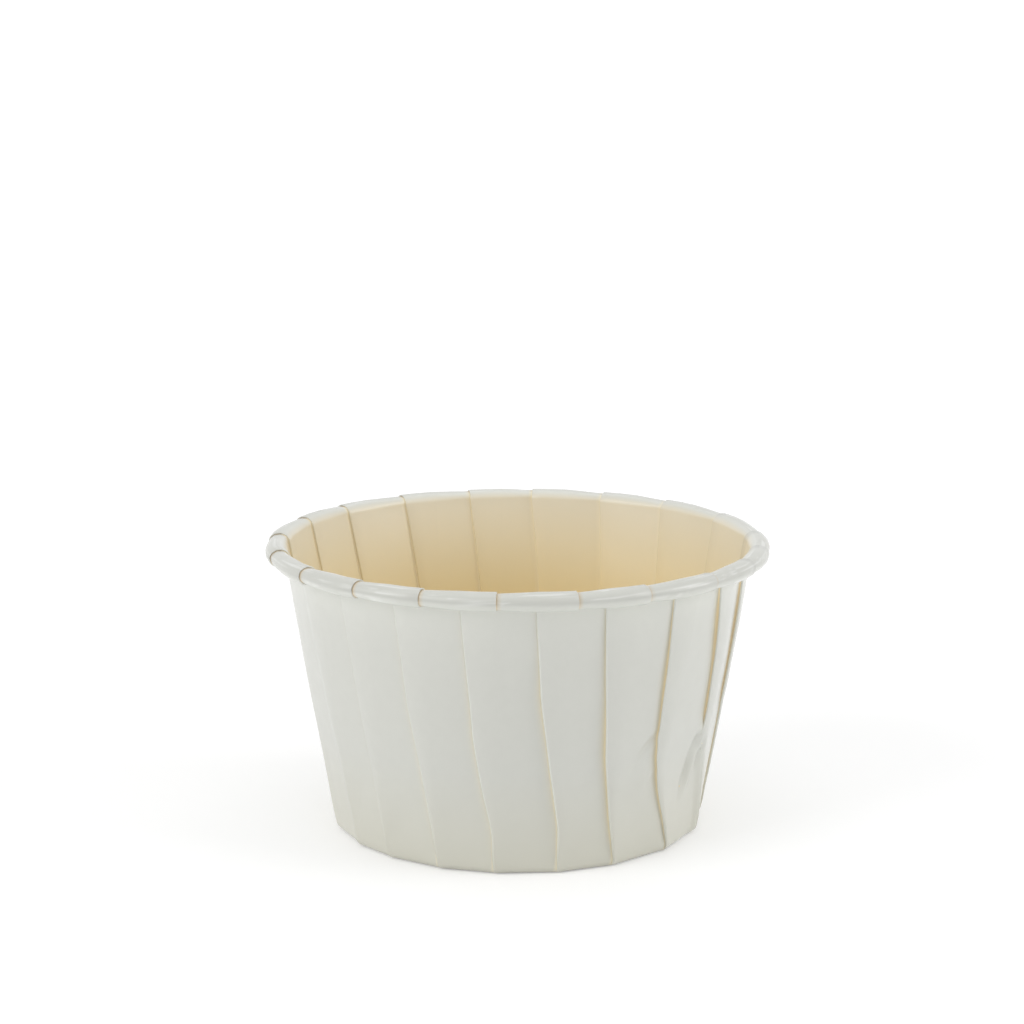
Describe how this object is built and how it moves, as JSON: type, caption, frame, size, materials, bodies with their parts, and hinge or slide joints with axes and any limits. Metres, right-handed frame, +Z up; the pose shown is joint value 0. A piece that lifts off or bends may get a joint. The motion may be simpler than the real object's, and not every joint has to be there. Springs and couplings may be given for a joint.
{
  "type": "portion cup",
  "caption": "Small pleated portion cup of coated paper with a flat round base, a tapered knife-pleated wall and a rim rolled outward.",
  "frame": {"origin": "middle of the base's underside, on the surface that the cup stands on", "axes": "+Z up along the cup's axis, out of its mouth; the front of the picture looks along +Y"},
  "size_m": [0.0572, 0.0572, 0.033],
  "materials": {
    "coated_paper": "off-white coated paper, satin with a slight gloss along the roll, warmer where light passes between the folds"
  },
  "bodies": {
    "root": {"pleated_cup": "coated_paper"}
  },
  "joints": []
}
